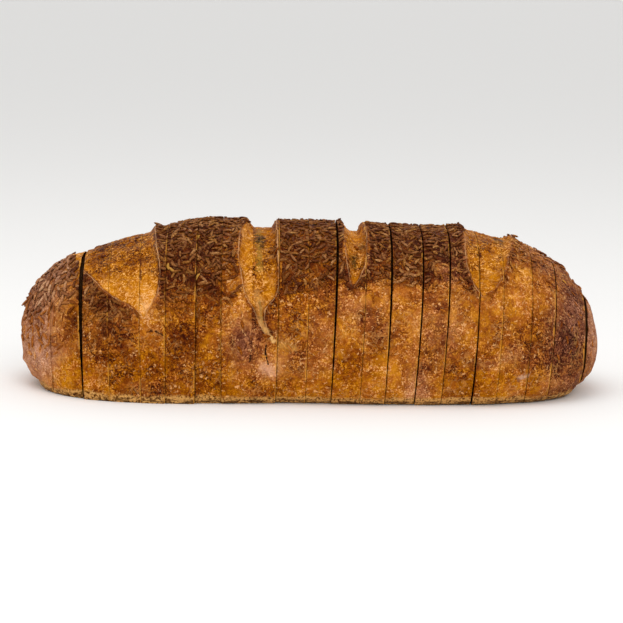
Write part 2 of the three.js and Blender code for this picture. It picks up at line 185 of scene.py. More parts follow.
def slash_relief(x, down, face):
    """Relief of the slashes in mm, then the share of torn dough, how far inside a slash's edge
    each place lies in mm, and the share beside an edge that tore."""
    relief = np.zeros_like(x)
    inside = np.zeros_like(x)
    edge = np.full_like(x, -9.0)
    beside = np.zeros_like(x)
    for slash in SLASHES:
        front, back = np.array(slash["front"]), np.array(slash["back"])
        left, right = (
            np.where(face < 0, np.interp(down, front[:, 0], front[:, side]),
                     np.interp(down, back[:, 0], back[:, side]))
            for side in (1, 2)
        )
        before_tip = down < np.where(face < 0, front[-1, 0], back[-1, 0])
        open_share = smooth_step(right - left, 0.0, 3.0) * before_tip
        wall = np.ones_like(x)
        for side, within in enumerate((x - left, right - x)):
            crest = 1.0 - smooth_step(down, 0.1, 0.45)
            slope = slash["walls"][side] * (1.0 + (slash["soft"][side] - 1.0) * crest)
            wall = wall * smooth_step(within, 0.0, slope)
            lip = np.exp(-(((within + 0.6) / LIP_WIDTH) ** 2))
            relief += slash["lips"][side] * open_share * lip
            sharp = smooth_step(6.0 - slope, 0.0, 3.0) * open_share
            beside = np.maximum(beside, np.exp(-((within / 2.0) ** 2)) * sharp)
        relief -= slash["depth"] * smooth_step(right - left, 0.0, 7.0) * before_tip * wall
        edge = np.maximum(edge, np.where(before_tip, np.minimum(x - left, right - x), -9.0))
        inside = np.maximum(inside, smooth_step(edge, 0.0, 1.6) * open_share)
    return relief, inside, edge, beside


def swell(x, angle):
    """Slow unevenness of the loaf, up to about a millimetre and a half."""
    return (
        0.55 * np.sin(0.052 * x + 1.9 * angle + 0.6)
        + 0.45 * np.sin(0.097 * x - 1.3 * angle + 2.4)
        + 0.35 * np.sin(0.151 * x + 3.1 * angle + 4.4)
    )


def crust_form(x, step, face):
    """Points of the plain crust and the shares of the slashes there; face is -1 in front."""
    top, bottom, side, foot, widest = section_at(x)
    flank_turn = np.clip((step - FOOT_STEPS) / FLANK_STEPS, 0.0, 1.0) * math.pi / 2
    dome_turn = np.clip((step - FOOT_STEPS - FLANK_STEPS) / DOME_STEPS, 0.0, 1.0) * math.pi / 2
    on_foot = step <= FOOT_STEPS
    on_flank = step <= FOOT_STEPS + FLANK_STEPS
    dome_across = side * np.maximum(np.cos(dome_turn), 0.0) ** (2 / DOME_EXPONENT)
    dome_height = widest + (top - widest) * np.sin(dome_turn) ** (2 / DOME_EXPONENT)
    across = np.where(on_flank, foot + (side - foot) * np.sin(flank_turn), dome_across)
    across = np.where(on_foot, foot * step / FOOT_STEPS, across)
    height = np.where(on_flank, widest - (widest - bottom) * np.cos(flank_turn), dome_height)
    height = np.where(on_foot, bottom, height)
    angle = np.arctan2(height - widest, face * across)
    over_foot = np.clip((height - bottom) / 12.0, 0.0, 1.0)
    near_tip = np.clip((HALF_LENGTH - abs(x)) / 15.0, 0.0, 1.0)
    down = np.clip((HALF_STEPS - step) / DOME_STEPS, 0.0, 1.0) + np.zeros_like(x)
    relief, *tears = slash_relief(x, down, face)
    on_dome = (height > widest) & (side > 1.0)
    total = swell(x, angle) * over_foot * near_tip + np.where(on_dome, relief, 0.0) * near_tip
    reach = np.maximum(np.hypot(across, height - widest), 1e-6)
    grow = np.where(on_foot, 1.0, 1.0 + total / np.maximum(reach, 1.0))
    points = np.stack([x, face * across * grow, widest + (height - widest) * grow], axis=-1)
    return points, [np.where(on_dome, share, 0.0) for share in tears]


def grain(points, size, seed):
    """Smooth noise from -1 to 1 whose lumps are about size mm across."""
    grid = points / size + 31.7 * seed
    cell = np.floor(grid).astype(np.int64)
    part = grid - cell
    part = part * part * (3.0 - 2.0 * part)
    total = np.zeros(points.shape[:-1])
    for corner in range(8):
        offset = np.array([corner & 1, corner >> 1 & 1, corner >> 2 & 1])
        index = cell + offset
        mixed = index[..., 0] * 73856093 ^ index[..., 1] * 19349663 ^ index[..., 2] * 83492791
        mixed = (mixed ^ (mixed >> 13)) * 1274126177 & 0xFFFFFFFF
        value = ((mixed ^ (mixed >> 16)) & 0xFFFF) / 65535.0
        total += value * np.prod(np.where(offset, part, 1.0 - part), axis=-1)
    return 2.0 * total - 1.0


def crust_surface(x, step, face):
    """Crust points with the dough's fine lumps, outward normals and shares of the slashes."""
    points, tears = crust_form(x, step, face)
    ahead = crust_form(x + 0.2, step, face)[0] - crust_form(x - 0.2, step, face)[0]
    rise = crust_form(x, np.minimum(step + 0.04, HALF_STEPS), face)[0]
    rise = rise - crust_form(x, np.maximum(step - 0.04, 0.0), face)[0]
    normals = np.cross(ahead, rise) * -face[..., None]
    normals /= np.maximum(np.linalg.norm(normals, axis=-1, keepdims=True), 1e-9)
    lumps = 0.45 * grain(points, 9.0, 1) + 0.35 * grain(points, 3.6, 2)
    blisters = 0.22 * grain(points, 1.6, 3) + 0.6 * tears[0] * grain(points, 2.6, 4)
    blisters = blisters + 0.5 * smooth_step(x, 100.0, 120.0) * grain(points, 5.0, 5)
    knobs = 0.9 * grain(points, 7.0, 6) + 0.6 * grain(points, 3.2, 7)
    blisters = blisters + smooth_step(-x, 106.0, 120.0) * knobs
    off_foot = smooth_step(points[..., 2], 0.3, 6.0)
    near_tip = np.clip((HALF_LENGTH - abs(x)) / 3.0, 0.0, 1.0)
    lift = (lumps + blisters) * off_foot * near_tip
    return points + normals * lift[..., None], normals, tears


# ------------------------------------------------------------------------------------
# The slicer's cuts. A frame of blades half an inch apart went through the cooled loaf, odd
# and even blades a little out of line, and the slices have since fanned slightly apart.

CUT_COUNT = 20
SLICE_PITCH = 12.7
FIRST_CUT = -115.6
BLADE_STAGGER = 0.45
LEAN_HEIGHT = 30.0
TIGHT_GAP = 0.12
CUT_YAW = -1.4  # degrees that the blades stood off square

# degrees that each cut leans, positive to the right at the top
CUT_LEANS = [
    -2.0, -2.2, -1.6, -1.7, -0.3, 0.0, -0.3, 0.3, 1.1, 1.1,
    2.2, 2.2, 2.6, 3.3, 3.5, 3.4, 3.2, 3.4, 4.6, 4.2,
]
# extra gap in front, in mm, at the foot and at the crest of the cuts that stand open; it
# narrows to nothing at the back
OPEN_CUTS = {
    1: (0.5, 3.2), 10: (0.2, 1.4), 12: (0.0, 1.4), 13: (0.35, 0.8),
    14: (0.0, 1.0), 15: (0.7, 0.0), 18: (0.1, 0.8), 19: (0.5, 4.0),
}
# how far some cuts are from their place in the even row, in mm
CUT_DRIFTS = {
    0: -2.7, 1: -1.5, 2: -0.4, 3: 0.3, 10: 0.4, 12: -0.4, 14: 0.4, 15: 0.8, 17: 0.3, 19: 3.4,
}
# how far each piece has slid back from the row, or forward where it is negative, in mm
PIECE_STEPS = [
    0.6, 0.5, -0.8, -1.2, -1.5, -1.0, 0.6, -0.6, -0.5, 0.7, 0.9,
    0.0, -0.5, 0.4, -0.2, 0.5, -0.3, 0.4, -0.2, 0.5, 0.9,
]
# the cut that hardly shows, because its two slices have stayed pressed together
CLOSED_CUT = 7


def cut_plane(index, side):
    """x of one side of a cut for y and z: side -1 bounds the piece on its left."""
    stagger = BLADE_STAGGER if index % 2 else -BLADE_STAGGER
    place = FIRST_CUT + SLICE_PITCH * index + stagger + CUT_DRIFTS.get(index, 0.0)
    yaw = math.tan(math.radians(CUT_YAW))
    slope = math.tan(math.radians(CUT_LEANS[index]))
    tight = 0.02 if index == CLOSED_CUT else TIGHT_GAP
    foot_gap, crest_gap = OPEN_CUTS.get(index, (0.0, 0.0))

    def plane(y, z):
        forward = np.clip(0.5 - y / (2 * HALF_WIDTH), 0.0, 1.0)
        gap = tight + (foot_gap + (crest_gap - foot_gap) * z / CREST_HEIGHT) * forward
        middle = place + yaw * (y + HALF_WIDTH) + slope * (z - LEAN_HEIGHT)
        return middle + side * 0.5 * gap

    return plane


def crust_on_plane(plane, step, face):
    """x at which the crust meets a cut, for each place of the outline."""
    x = np.full_like(step, plane(0.0, LEAN_HEIGHT))
    for _ in range(8):
        points = crust_form(x, step, face)[0]
        x = plane(points[..., 1], points[..., 2])
    return x


# ------------------------------------------------------------------------------------
# The crust. Rye dough baked dark on the hearth: glossy gold to amber where the dough tore
# open late, dull brown where it baked longest, pink-grey where flour and steam left a film.


def linear(hex_colour):
    """An sRGB hex colour as the linear RGBA that nodes use."""
    parts = [int(hex_colour[i:i + 2], 16) / 255 for i in (1, 3, 5)]
    return [p / 12.92 if p <= 0.04045 else ((p + 0.055) / 1.055) ** 2.4 for p in parts] + [1.0]


def new_material(name):
    material = bpy.data.materials.new(name)
    material.use_nodes = True
    material.node_tree.nodes.clear()
    return material


def add(tree, kind, inputs, output=0, stops=(), **settings):
    """Add a node and give one of its outputs.

    inputs gives a value or a link for each input, by name or number; stops are the colours
    of a ramp, evenly spaced; settings are the node's own properties.
    """
    node = tree.nodes.new("ShaderNode" + kind)
    for name, value in settings.items():
        setattr(node, name, value)
    for share, colour in enumerate(stops):
        ramp = node.color_ramp.elements
        stop = ramp[share] if share < len(ramp) else ramp.new(1.0)
        stop.position = share / (len(stops) - 1)
        stop.color = linear(colour)
    for name, source in inputs.items():
        if isinstance(source, bpy.types.NodeSocket):
            tree.links.new(source, node.inputs[name])
        else:
            node.inputs[name].default_value = source
    return node.outputs[output] if node.outputs else None


def per_mm(size):
    """Texture scale, per metre, for a pattern of this size in mm."""
    return 1.0 / (size * MM)


def where(tree, strength, *ranges):
    """A strength times smooth ranges: each of a socket, from, to, and its share at both."""
    for source, low, high, at_low, at_high in ranges:
        share = add(tree, "MapRange", {0: source, 1: low, 2: high, 3: at_low, 4: at_high},
                    interpolation_type="SMOOTHSTEP")
        strength = add(tree, "Math", {0: share, 1: strength}, operation="MULTIPLY")
    return strength


# bare crust where it baked golden and where it baked red, and crust under a film of flour,
# each from palest to darkest
GOLDEN = ["#f0b56c", "#dc9228", "#c67c04", "#a96400", "#884800", "#622c00", "#3a1400"]
REDDISH = ["#ecae78", "#ce8238", "#b16416", "#944c06", "#763600", "#581e00", "#340a00"]
FILMED = ["#e4b89c", "#cf9c80", "#b88266", "#9b684c", "#7c4a36", "#552c1c", "#2e1006"]


def stroke(tree, place, start, end, reach):
    """Share of a ragged mark on the shown side between two places given as x and z in mm."""
    start = Vector((start[0], 0.0, start[1])) * MM
    span = Vector((end[0], 0.0, end[1])) * MM - start
    offset = add(tree, "VectorMath", {0: place, 1: start}, operation="SUBTRACT")
    flat = add(tree, "VectorMath", {0: offset, 1: (1.0, 0.0, 1.0)}, operation="MULTIPLY")
    direction = span / max(span.length_squared, 1e-9)
    along = add(tree, "VectorMath", {0: flat, 1: direction}, "Value", operation="DOT_PRODUCT")
    along = add(tree, "Math", {0: along, 1: 1.0}, operation="MULTIPLY", use_clamp=True)
    nearest = add(tree, "VectorMath", {0: span, "Scale": along}, operation="SCALE")
    away = add(tree, "VectorMath", {0: flat, 1: nearest}, "Value", operation="DISTANCE")
    # the distance wavers by as much as 1.2 times the reach either way
    waver = 2.4 * reach * MM
    ragged = add(tree, "TexNoise", {"Vector": place, "Scale": per_mm(1.4), "Detail": 3.0})
    away = add(tree, "Math", {0: away, 1: 0.5 * waver}, operation="SUBTRACT")
    away = add(tree, "Math", {0: ragged, 1: waver, 2: away}, operation="MULTIPLY_ADD")
    back = add(tree, "SeparateXYZ", {"Vector": place}, "Y")
    return where(tree, 1.0, (away, 0.1 * reach * MM, 1.1 * reach * MM, 1.0, 0.0),
                 (back, -4.0 * MM, 4.0 * MM, 1.0, 0.0))


# Marks on the shown side: from and to (x, z), reach in mm, strength and colour. The near-black
# cracks and holes among them are painted shade, and one pair is a painted shadow under a ledge.
MARKS = [
    ((-24.2, 73.7), (-23.2, 60.6), 2.2, 0.55, "#98792e"),
    # painted shade: two holes in the second slash near the crest, drawn dark where the mesh has
    # none
    ((-25.3, 72.4), (-22.4, 71.8), 1.9, 1.0, "#220b02"),
    ((-22.9, 69.6), (-22.5, 69.2), 1.3, 0.9, "#341505"),
    ((-24.0, 51.0), (-22.4, 38.6), 2.2, 0.6, "#c08c4c"),
    ((-22.9, 47.0), (-21.6, 38.0), 0.7, 0.5, "#86703a"),
    ((-22.4, 38.6), (-20.1, 35.3), 1.6, 0.65, "#c89454"),
    ((-20.1, 35.3), (-16.6, 30.1), 1.3, 0.7, "#d8a45c"),
    ((-17.6, 31.5), (-16.2, 29.8), 1.3, 0.8, "#eab874"),
    ((-20.5, 18.0), (-16.5, 15.0), 2.8, 0.5, "#e8b08c"),
    # painted shade: two cracks low down the second slash, drawn near-black where the mesh has none
    ((-19.6, 28.2), (-19.8, 25.0), 0.5, 1.0, "#1e0d04"),
    ((-19.8, 25.0), (-19.3, 22.3), 0.65, 1.0, "#1e0d04"),
    ((-19.3, 22.3), (-18.5, 19.4), 0.45, 1.0, "#1e0d04"),
    ((-26.8, 29.6), (-26.7, 27.0), 0.45, 0.75, "#4a1e0c"),
    ((-26.5, 23.4), (-26.8, 20.6), 0.7, 0.9, "#2e1406"),
    ((-13.5, 28.5), (-7.5, 27.0), 2.8, 0.35, "#c89c54"),
    # painted shade: a small hole in the third slash, drawn dark where the mesh has none
    ((19.2, 65.4), (21.2, 65.8), 1.8, 1.0, "#2a1607"),
    ((19.8, 63.4), (20.2, 61.6), 1.6, 0.7, "#5a4216"),
    ((22.4, 69.2), (24.2, 70.0), 1.4, 0.85, "#4a2a10"),
    # painted shade: a small hole in the fourth slash
    ((87.0, 71.7), (89.8, 70.7), 1.7, 0.85, "#3a2a14"),
    # painted shade in a crack down the first slash
    ((-78.0, 62.4), (-77.2, 55.3), 0.55, 0.8, "#4a1f0a"),
    ((-80.0, 66.8), (-78.8, 62.3), 1.1, 0.5, "#6a3010"),
    ((-69.4, 40.4), (-67.2, 38.4), 1.2, 0.7, "#7a3e1a"),
    # painted shadow under a small ledge of crust low on the first slash
    ((-72.6, 33.7), (-69.5, 33.4), 0.8, 0.9, "#361706"),
    ((-69.5, 33.4), (-66.2, 31.9), 0.7, 0.9, "#361706"),
    ((96.5, 13.6), (99.5, 14.2), 1.6, 0.6, "#d8b49c"),
    ((95.3, 12.6), (95.7, 12.0), 1.0, 0.7, "#7a4428"),
]
# marks that reach further than this, in mm, are broken up by the grain of the skin
BROKEN_REACH = 1.0


def make_baked_rye_crust():
    material = new_material("baked rye crust")
    tree = material.node_tree
    place = add(tree, "TexCoord", {}, "Object")
    bake_and_shade, film, edge, beside, rim_light_and_shade = (
        add(tree, "Attribute", {}, "Fac", attribute_name=name)
        for name in ("bake_and_shade", "film", "edge", "beside", "rim_light_and_shade")
    )
    # Noises, each with its size in mm: clouds, blisters and grain of the skin, then where it
    # is more uneven, where it is more frayed, where it is redder, pale flecks and cornmeal.
    clouds, blisters, skin, uneven, patches, hue, flecks, meal = (
        add(tree, "TexNoise", {"Vector": place, "Scale": per_mm(size), "Detail": detail,
                               "Roughness": roughness, "Distortion": distortion})
        for size, detail, roughness, distortion in (
            (5.0, 4.0, 0.62, 0.8), (2.0, 3.0, 0.6, 0.6), (0.8, 3.0, 0.8, 0.0),
            (8.0, 3.0, 0.6, 0.5), (9.0, 3.0, 0.5, 0.0), (6.0, 5.0, 0.68, 1.0),
            (1.5, 2.0, 0.6, 0.5), (1.1, 2.0, 0.7, 0.0),
        )
    )

    # mottling: on bare flanks the darkest spots are held back, and under the seeds they stay
    mottle = add(tree, "Math", {0: skin, 1: 2.5, 2: -1.7}, operation="MULTIPLY_ADD")
    mottle = add(tree, "Math", {0: blisters, 1: 0.9, 2: mottle}, operation="MULTIPLY_ADD")
    held = where(tree, 1.0, (bake_and_shade, 0.5, 0.75, 0.07, 0.35))
    mottle = add(tree, "Math", {0: mottle, 1: held}, operation="MINIMUM")
    mottle = where(tree, mottle, (uneven, 0.4, 0.6, 0.45, 1.25), (edge, 0.0, 2.0, 1.0, 1.5))
    baked = add(tree, "Math", {0: clouds, 1: 0.8, 2: -0.4}, operation="MULTIPLY_ADD")
    baked = add(tree, "Math", {0: baked, 1: bake_and_shade}, operation="ADD")
    baked = add(tree, "Math", {0: baked, 1: mottle}, operation="ADD", use_clamp=True)
    golden, reddish, filmed = (
        add(tree, "ValToRGB", {"Fac": baked}, stops=scale) for scale in (GOLDEN, REDDISH, FILMED)
    )
    hue = where(tree, 1.0, (hue, 0.4, 0.6, 0.0, 1.0))
    hue = add(tree, "Math", {0: film, 1: 0.7, 2: hue}, operation="MULTIPLY_ADD", use_clamp=True)
    hue = where(tree, hue, (edge, 0.0, 1.5, 1.0, 0.45))

    # wrinkles where the skin shrank, in bent cells of 3 mm, with fine pale lines of painted
    # highlight along them
    warp = add(tree, "TexNoise", {"Vector": place, "Scale": per_mm(2.5), "Detail": 2.0}, "Color")
    bent = add(tree, "VectorMath", {0: warp, 1: [3.0 * MM] * 3, 2: place}, operation="MULTIPLY_ADD")
    creases = add(tree, "TexVoronoi", {"Vector": bent, "Scale": per_mm(3.4)}, "Distance",
                  feature="DISTANCE_TO_EDGE")
    creases = where(tree, 1.0, (creases, 0.02, 0.12, 1.0, 0.0), (patches, 0.48, 0.62, 0.0, 1.0))
    # painted highlight along the wrinkles
    crease_highlights = add(tree, "Math", {0: creases, 1: 0.35}, operation="MULTIPLY")
    # pale flecks of flour and burst blisters, fewer where it baked dark and in the slashes
    flecks = where(tree, 1.0, (flecks, 0.6, 0.66, 0.0, 1.0), (clouds, 0.4, 0.55, 0.0, 1.0),
                   (bake_and_shade, 0.6, 0.85, 0.75, 0.2), (edge, 0.0, 2.0, 1.0, 0.4))

    # cornmeal from the peel sticks to the lowest few millimetres, with streaks of painted shadow
    # low along it
    up = add(tree, "SeparateXYZ", {"Vector": place}, "Z")
    meal = where(tree, 1.0, (meal, 0.38, 0.54, 0.0, 1.0))
    meal = add(tree, "Mix", {0: meal, 6: linear("#4c2a0a"), 7: linear("#dca65e")}, 2,
               data_type="RGBA")
    long_place = add(tree, "VectorMath", {0: place, 1: (0.22, 1.0, 1.0)}, operation="MULTIPLY")
    streaks = add(tree, "TexNoise", {"Vector": long_place, "Scale": per_mm(1.5), "Detail": 2.0})
    # painted shadow: dark streaks 1.6 to 2.8 mm above the base, along the edge of the foot
    foot_shadow_streaks = where(tree, 0.8, (streaks, 0.46, 0.56, 0.0, 1.0),
                     (up, 1.6 * MM, 2.8 * MM, 1.0, 0.0))
    meal = add(tree, "Mix", {0: foot_shadow_streaks, 6: meal, 7: linear("#301a08")}, 2, data_type="RGBA")
    ragged_up = add(tree, "Math", {0: patches, 1: 6.0 * MM, 2: up}, operation="MULTIPLY_ADD")
    low = where(tree, 0.8, (ragged_up, 6.0 * MM, 7.6 * MM, 1.0, 0.0))

    # each layer of colour covers those before it by its share
    layers = [(hue, reddish), (where(tree, film, (blisters, 0.3, 0.6, 0.55, 1.0)), filmed),
              (crease_highlights, linear("#d39350")), (flecks, linear("#f2b272")), (low, meal)]
    for start, end, reach, strength, shade in MARKS:
        mark = stroke(tree, place, start, end, reach)
        if reach > BROKEN_REACH:
            mark = where(tree, mark, (skin, 0.35, 0.6, 0.55, 1.0))
        mark = add(tree, "Math", {0: mark, 1: strength}, operation="MULTIPLY")
        layers.append((mark, linear(shade)))
    # torn edges: a pale line half a millimetre wide along the slashes; at the cuts' rims, painted
    # highlight on right rims and painted shade on left rims
    off_edge = add(tree, "Math", {0: edge, 1: blisters}, operation="ADD")
    off_edge = add(tree, "Math", {0: off_edge, 1: 0.5}, operation="SUBTRACT")
    off_edge = add(tree, "Math", {0: off_edge}, operation="ABSOLUTE")
    frayed = where(tree, beside, (off_edge, 0.05, 0.34, 1.0, 0.0),
                   (patches, 0.38, 0.58, 0.25, 0.85))
    # painted highlight along the right rims of the cuts, painted shade along the left rims
    painted_rim_highlight = where(tree, 1.0, (rim_light_and_shade, 0.2, 1.0, 0.0, 1.0), (patches, 0.45, 0.6, 0.05, 0.6))
    painted_rim_shade = where(tree, 1.0, (rim_light_and_shade, -1.0, -0.1, 1.0, 0.0), (clouds, 0.4, 0.6, 0.1, 0.6))
    layers += [(frayed, linear("#d39c68")), (painted_rim_highlight, linear("#dc9636")),
               (painted_rim_shade, linear("#682c04"))]
    colour = golden
    for share, over in layers:
        colour = add(tree, "Mix", {0: share, 6: colour, 7: over}, 2, data_type="RGBA")

    height = blisters
    for source, strength in ((skin, 0.4), (flecks, 0.35), (creases, 0.3)):
        height = add(tree, "Math", {0: source, 1: strength, 2: height}, operation="MULTIPLY_ADD")
    bump = add(tree, "Bump", {"Height": height, "Strength": 1.0, "Distance": 0.8 * MM})
    rough = where(tree, 1.0, (film, 0.0, 1.0, 0.45, 0.7))
    shader = add(tree, "BsdfPrincipled", {
        "Base Color": colour, "Normal": bump, "Roughness": rough,
        "IOR": 1.45, "Specular IOR Level": 0.04,
    })
    add(tree, "OutputMaterial", {"Surface": shader})
    return material


baked_rye_crust = make_baked_rye_crust()


def make_rye_crumb():
    material = new_material("rye crumb")
    tree = material.node_tree
    place = add(tree, "TexCoord", {}, "Object")
    pores = add(tree, "TexVoronoi", {"Vector": place, "Scale": per_mm(2.2)}, "Distance")
    pores = add(tree, "MapRange", {0: pores, 1: 0.1, 2: 0.45})
    depth = add(tree, "Attribute", {}, "Fac", attribute_name="crumb_depth")
    inner = add(tree, "Mix", {0: pores, 6: linear("#8a6238"), 7: linear("#b48c60")}, 2,
                data_type="RGBA")
    # darker out towards the crust: the outermost millimetre or two is the crust's own dark cut
    # edge, the rest is painted shade for the narrow gaps between slices
    colour = add(tree, "Mix", {0: depth, 6: linear("#3a1205"), 7: inner}, 2, data_type="RGBA")
    bump = add(tree, "Bump", {"Height": pores, "Strength": 0.8, "Distance": 0.6 * MM})
    shader = add(tree, "BsdfPrincipled", {
        "Base Color": colour, "Normal": bump, "Roughness": 0.9,
        "IOR": 1.4, "Specular IOR Level": 0.0,
    })
    add(tree, "OutputMaterial", {"Surface": shader})
    return material


rye_crumb = make_rye_crumb()

# Patches of the shown side that baked apart from the rest: x, z and reach in mm, then how
# much darker (or paler) they are and how much film they carry.
BLOTS = [
    # flour on the left heel over a golden foot
    (-128.0, 40.0, 10.0, 16.0, 0.0, 1.0),
    (-126.0, 16.0, 12.0, 14.0, -0.2, 1.0),
    (-104.0, 9.0, 14.0, 7.0, -0.14, -0.8),
    # the first slash, brown at the crest and pale where it runs out
    (-102.0, 62.0, 12.0, 8.0, 0.16, 0.0),
    (-90.0, 46.0, 14.0, 9.0, -0.2, 0.0),
    (-73.0, 43.0, 6.0, 9.0, -0.34, 0.0),
    # the redder patch and the pale one where the second slash runs out
    (-29.8, 29.5, 7.0, 9.5, 0.12, 0.75),
    (-19.0, 17.0, 6.0, 5.0, -0.3, 0.5),
    (-14.0, 30.0, 9.0, 14.0, -0.16, 0.1),
    # dark and dull under the third slash, pale and then dull to the right of it
    (26.0, 40.0, 10.0, 9.0, 0.2, 0.2),
    (58.0, 36.0, 10.0, 14.0, -0.14, 0.25),
    # a golden foot on the right, and flour on the right heel
    (92.0, 13.0, 16.0, 9.0, -0.1, -0.5),
    (121.0, 36.0, 8.0, 20.0, 0.16, 0.9),
    (134.0, 28.0, 5.0, 14.0, -0.1, 0.9),
]
# how far the slices differ in painted light and shade, as each leans and turns a little in the
# light
PIECE_LIGHT_SPREAD = 0.045


def seed_cover(points, step, inside, beside):
    """How thickly caraway seeds lie on the crust (0-1)."""
    x, z = points[..., 0], points[..., 2]
    # the height above which they lie thickly
    lower = 53.0 - 5.0 * smooth_step(-x, 40.0, 45.0) + 4.0 * smooth_step(-x, 50.0, 58.0)
    lower = lower + 3.0 * smooth_step(x, 10.0, 60.0) - 8.0 * smooth_step(-x, 76.0, 84.0)
    lower = lower + 7.0 * grain(points, 14.0, 21) + 5.0 * grain(points, 5.0, 22)
    top = smooth_step(z, lower - 12.0, lower + 10.0)
    flank = 0.12 + 0.35 * smooth_step(-x, 35.0, 62.0) + 0.1 * smooth_step(x, 80.0, 100.0)
    right = 1.0 - 0.35 * smooth_step(x, 75.0, 105.0)
    cover = (flank + (1.0 - flank) * top) * right
    on_dome = step > FOOT_STEPS + FLANK_STEPS
    on_skin = cover * (inside < 0.3) * (beside < 0.6) * smooth_step(z, 6.0, 20.0)
    return on_dome * np.maximum(on_skin, 0.09 * inside * smooth_step(z, 60.0, 68.0))


def browning_at(points, inside, beside, cover):
    """How dark the crust baked, with painted shade added where seeds lie thickly (0-1), and how
    much dull film it carries (0-1).
    """
    x, y, z = points[..., 0], points[..., 1], points[..., 2]
    bake_and_shade = 0.55 + 0.13 * smooth_step(-x, 30.0, 55.0) - 0.05 * smooth_step(x, 60.0, 95.0)
    bake_and_shade = bake_and_shade + 0.1 * smooth_step(abs(x), 100.0, 125.0) - 0.08 * smooth_step(-z, -22.0, -6.0)
    # painted shade: the crust is darker where seeds lie thickly, for the shade in the crevices
    # between them
    bake_and_shade = bake_and_shade + 0.36 * smooth_step(cover, 0.4, 1.0)
    film = 0.15 + 0.25 * smooth_step(x, 15.0, 50.0)
    film = film * smooth_step(grain(points, 15.0, 11), 0.05, 0.6)
    film = film + 0.06 * smooth_step(x, 15.0, 50.0) + 0.08 * cover + 0.1 * beside
    # torn dough is palest low on the flank and redder over the crest
    torn = 0.5 - 0.1 * smooth_step(-z, -66.0, -46.0) + 0.1 * smooth_step(-x, 60.0, 80.0)
    torn = torn + 0.04 * smooth_step(z, 60.0, 72.0) * smooth_step(-x, 60.0, 80.0)
    torn = torn + 0.25 * smooth_step(grain(points, 5.0, 15), 0.1, 0.8) * smooth_step(z, 52.0, 66.0)
    for place_x, place_z, reach_x, reach_z, darker, dull in BLOTS:
        near = np.exp(-(((x - place_x) / reach_x) ** 2) - ((z - place_z) / reach_z) ** 2)
        # they fade where the crust turns to the back
        near = near * (1.0 - smooth_step(y, 0.0, 22.0))
        bake_and_shade = bake_and_shade + darker * near
        torn = torn + darker * near
        film = film + dull * near
    bake_and_shade = bake_and_shade + 0.15 * grain(points, 13.0, 12) + 0.1 * grain(points, 5.0, 13) + 0.25 * beside
    torn = torn + 0.12 * grain(points, 9.0, 14)
    bake_and_shade = bake_and_shade * (1.0 - inside) + torn * inside
    bake_and_shade = bake_and_shade + 0.3 * (1.0 - smooth_step(z, 0.5, 2.0))
    return np.clip(bake_and_shade, 0.0, 1.0), np.clip(film * (1.0 - inside), 0.0, 1.0)


# ------------------------------------------------------------------------------------
# The slices. Each is one piece of bread with its ring of crust and two flat sawn faces; a
# heel has one sawn face and runs out to the loaf's tip. They stand 0.12 mm apart or more,
# apart from the two that stayed pressed together.

FOOT_COLUMNS = 16
FLANK_COLUMNS = 44
DOME_COLUMNS = 132
SLICE_ROWS = 18
HEEL_ROWS = 56
RIM_ROUNDING = 0.14
# rings of a sawn face: share of the outline's size and how deep in the crumb they lie, which sets
# the crumb's painted shade near the rim
FACE_RINGS = [(0.976, 0.0), (0.93, 0.2), (0.84, 0.8), (0.6, 1.0), (0.3, 1.0)]


def outline_places():
    """Steps and faces of the outline: up the front from the middle of the foot and round."""
    foot = np.linspace(0.0, FOOT_STEPS, FOOT_COLUMNS, endpoint=False)
    flank = FOOT_STEPS + np.linspace(0.0, FLANK_STEPS, FLANK_COLUMNS, endpoint=False)
    dome = FOOT_STEPS + FLANK_STEPS + np.linspace(0.0, DOME_STEPS, DOME_COLUMNS, endpoint=False)
    half = np.concatenate([foot, flank, dome])
    step = np.concatenate([half, [HALF_STEPS], half[:0:-1]])
    face = np.where(np.arange(len(step)) <= len(half), -1.0, 1.0)
    return step, face


def row_shares(has_left, has_right):
    """Where the rows of crust lie between a piece's two ends, closer at a sawn rim."""
    rim = [0.0, 0.02, 0.06]
    if has_left and has_right:
        middle = np.linspace(0.11, 0.89, SLICE_ROWS - 2 * len(rim) + 1)
        return np.concatenate([rim, middle, [1.0 - share for share in reversed(rim)]])
    return np.concatenate([[0.0, 0.007, 0.02], np.linspace(0.04, 1.0, HEEL_ROWS)[:-1]])


def sawn_face(points, depths, faces, ring, plane, facing):
    """Closes a ring of crust with a flat face of crumb, in rings that halve their corners."""
    loop = points[ring]
    centre = np.array([0.0, 0.0, 0.45 * loop[:, 2].max()])
    outer = list(ring)
    for share, depth in FACE_RINGS:
        shrunk = centre + (loop[::len(ring) // (len(outer) // 2)] - centre) * share
        shrunk[:, 0] = plane(shrunk[:, 1], shrunk[:, 2])
        inner = list(range(len(points), len(points) + len(shrunk)))
        points = np.concatenate([points, shrunk])
        depths.extend([depth] * len(inner))
        for j, corner in enumerate(inner):
            after = inner[(j + 1) % len(inner)]
            a, b, c = outer[2 * j], outer[2 * j + 1], outer[(2 * j + 2) % len(outer)]
            faces.extend([(a, b, corner), (b, c, after), (b, after, corner)] if facing < 0
                         else [(b, a, corner), (c, b, after), (after, b, corner)])
        outer = inner
    centre[0] = plane(centre[1], centre[2])
    points = np.concatenate([points, [centre]])
    depths.append(1.0)
    hub = len(points) - 1
    for j, corner in enumerate(outer):
        after = outer[(j + 1) % len(outer)]
        faces.append((hub, corner, after) if facing < 0 else (hub, after, corner))
    return points


